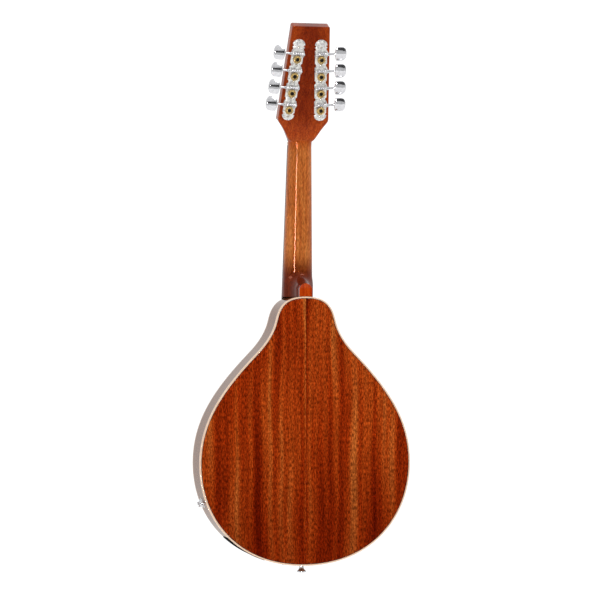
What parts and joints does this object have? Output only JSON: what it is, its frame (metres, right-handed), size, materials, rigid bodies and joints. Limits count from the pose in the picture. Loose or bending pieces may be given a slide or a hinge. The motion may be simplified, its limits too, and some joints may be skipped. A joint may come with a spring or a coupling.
{
  "type": "bouzouki",
  "caption": "Flat-backed bouzouki with a teardrop body, bound edges, angled headstock, open worm-geared tuners, floating bridge and tailpiece.",
  "frame": {"origin": "on the neck's flat face under the fingerboard, at the nut's edge, on the centre line", "axes": "+Z along the instrument towards the headstock, +Y out of the back, -Y out of the soundboard, +X towards the treble side"},
  "size_m": [0.353, 0.1317, 0.8975],
  "materials": {
    "mahogany": "high gloss clear lacquer over striped red-brown wood",
    "spruce": "gloss lacquer outside, bare inside",
    "lining_wood": "bare sawn wood",
    "rosewood": "oiled dark wood",
    "heel_cap": "gloss orange-red",
    "binding": "gloss cream plastic",
    "rosette": "inlaid ring under lacquer",
    "bone": "polished bone",
    "chrome": "polished chrome",
    "brass": "satin brass",
    "steel": "plain steel",
    "string_steel": "drawn steel wire",
    "black_plastic": "black moulded plastic",
    "battery_case": "plain dark can, no label"
  },
  "bodies": {
    "instrument": {"back_binding": "binding", "back_brace_lower": "spruce", "back_brace_upper": "spruce", "back_lining_bass": "lining_wood", "back_lining_treble": "lining_wood", "back_plate_bass": "mahogany", "back_plate_treble": "mahogany", "battery": "battery_case", "battery_box": "black_plastic", "bridge": "rosewood", "bridge_saddle": "bone", "fingerboard": "rosewood", "headstock_veneer": "rosewood", "heel_cap": "heel_cap", "neck": "mahogany", "neck_block": "mahogany", "nut": "bone", "output_jack": "chrome", "pickup_disc": "brass", "rim_bass": "mahogany", "rim_treble": "mahogany", "rosette": "rosette", "soundboard": "spruce", "soundboard_brace_lower": "spruce", "soundboard_brace_upper": "spruce", "strap_button": "chrome", "string_1": "string_steel", "string_2": "string_steel", "string_3": "string_steel", "string_4": "string_steel", "string_5": "string_steel", "string_6": "string_steel", "string_7": "string_steel", "string_8": "string_steel", "tail_block": "mahogany", "tailpiece": "chrome", "top_binding": "binding", "top_lining_bass": "lining_wood", "top_lining_treble": "lining_wood", "truss_rod": "steel", "truss_rod_cover": "black_plastic", "tuner_plate_bass": "chrome", "tuner_plate_treble": "chrome"},
    "key_1": {"tuner_key_1": "chrome"},
    "post_1": {"string_post_1": "brass"},
    "key_2": {"tuner_key_2": "chrome"},
    "post_2": {"string_post_2": "brass"},
    "key_3": {"tuner_key_3": "chrome"},
    "post_3": {"string_post_3": "brass"},
    "key_4": {"tuner_key_4": "chrome"},
    "post_4": {"string_post_4": "brass"},
    "key_5": {"tuner_key_5": "chrome"},
    "post_5": {"string_post_5": "brass"},
    "key_6": {"tuner_key_6": "chrome"},
    "post_6": {"string_post_6": "brass"},
    "key_7": {"tuner_key_7": "chrome"},
    "post_7": {"string_post_7": "brass"},
    "key_8": {"tuner_key_8": "chrome"},
    "post_8": {"string_post_8": "brass"},
    "door": {"battery_door": "black_plastic"}
  },
  "joints": [
    {"name": "tuner_key_1_turn", "type": "hinge", "parent": "instrument", "child": "key_1", "pos_m": [-0.02571, 0.0438, 0.06257], "axis": [-0.9975, 0.0255, 0.0663], "continuous": true},
    {"name": "string_post_1_turn", "type": "hinge", "parent": "instrument", "child": "post_1", "pos_m": [-0.02638, 0.02156, 0.06107], "axis": [0, 0.9336, -0.3584], "continuous": true},
    {"name": "tuner_key_2_turn", "type": "hinge", "parent": "instrument", "child": "key_2", "pos_m": [-0.02367, 0.05406, 0.0893], "axis": [-0.9975, 0.0255, 0.0663], "continuous": true},
    {"name": "string_post_2_turn", "type": "hinge", "parent": "instrument", "child": "post_2", "pos_m": [-0.02434, 0.03182, 0.08779], "axis": [0, 0.9336, -0.3584], "continuous": true},
    {"name": "tuner_key_3_turn", "type": "hinge", "parent": "instrument", "child": "key_3", "pos_m": [-0.02163, 0.06432, 0.11603], "axis": [-0.9975, 0.0255, 0.0663], "continuous": true},
    {"name": "string_post_3_turn", "type": "hinge", "parent": "instrument", "child": "post_3", "pos_m": [-0.0223, 0.04208, 0.11452], "axis": [0, 0.9336, -0.3584], "continuous": true},
    {"name": "tuner_key_4_turn", "type": "hinge", "parent": "instrument", "child": "key_4", "pos_m": [-0.01959, 0.07458, 0.14275], "axis": [-0.9975, 0.0255, 0.0663], "continuous": true},
    {"name": "string_post_4_turn", "type": "hinge", "parent": "instrument", "child": "post_4", "pos_m": [-0.02026, 0.05234, 0.14125], "axis": [0, 0.9336, -0.3584], "continuous": true},
    {"name": "tuner_key_5_turn", "type": "hinge", "parent": "instrument", "child": "key_5", "pos_m": [0.02571, 0.0438, 0.06257], "axis": [0.9975, 0.0255, 0.0663], "continuous": true},
    {"name": "string_post_5_turn", "type": "hinge", "parent": "instrument", "child": "post_5", "pos_m": [0.02638, 0.02156, 0.06107], "axis": [0, 0.9336, -0.3584], "continuous": true},
    {"name": "tuner_key_6_turn", "type": "hinge", "parent": "instrument", "child": "key_6", "pos_m": [0.02367, 0.05406, 0.0893], "axis": [0.9975, 0.0255, 0.0663], "continuous": true},
    {"name": "string_post_6_turn", "type": "hinge", "parent": "instrument", "child": "post_6", "pos_m": [0.02434, 0.03182, 0.08779], "axis": [0, 0.9336, -0.3584], "continuous": true},
    {"name": "tuner_key_7_turn", "type": "hinge", "parent": "instrument", "child": "key_7", "pos_m": [0.02163, 0.06432, 0.11603], "axis": [0.9975, 0.0255, 0.0663], "continuous": true},
    {"name": "string_post_7_turn", "type": "hinge", "parent": "instrument", "child": "post_7", "pos_m": [0.0223, 0.04208, 0.11452], "axis": [0, 0.9336, -0.3584], "continuous": true},
    {"name": "tuner_key_8_turn", "type": "hinge", "parent": "instrument", "child": "key_8", "pos_m": [0.01959, 0.07458, 0.14275], "axis": [0.9975, 0.0255, 0.0663], "continuous": true},
    {"name": "string_post_8_turn", "type": "hinge", "parent": "instrument", "child": "post_8", "pos_m": [0.02026, 0.05234, 0.14125], "axis": [0, 0.9336, -0.3584], "continuous": true},
    {"name": "battery_door_swing", "type": "hinge", "parent": "instrument", "child": "door", "pos_m": [0.11791, 0.01452, -0.64984], "axis": [0, -1, 0], "range_deg": [0, 100]}
  ],
  "couplings": [
    {"joint": "string_post_1_turn", "follows": "tuner_key_1_turn", "ratio": 0.071429},
    {"joint": "string_post_2_turn", "follows": "tuner_key_2_turn", "ratio": 0.071429},
    {"joint": "string_post_3_turn", "follows": "tuner_key_3_turn", "ratio": 0.071429},
    {"joint": "string_post_4_turn", "follows": "tuner_key_4_turn", "ratio": 0.071429},
    {"joint": "string_post_5_turn", "follows": "tuner_key_5_turn", "ratio": -0.071429},
    {"joint": "string_post_6_turn", "follows": "tuner_key_6_turn", "ratio": -0.071429},
    {"joint": "string_post_7_turn", "follows": "tuner_key_7_turn", "ratio": -0.071429},
    {"joint": "string_post_8_turn", "follows": "tuner_key_8_turn", "ratio": -0.071429}
  ]
}
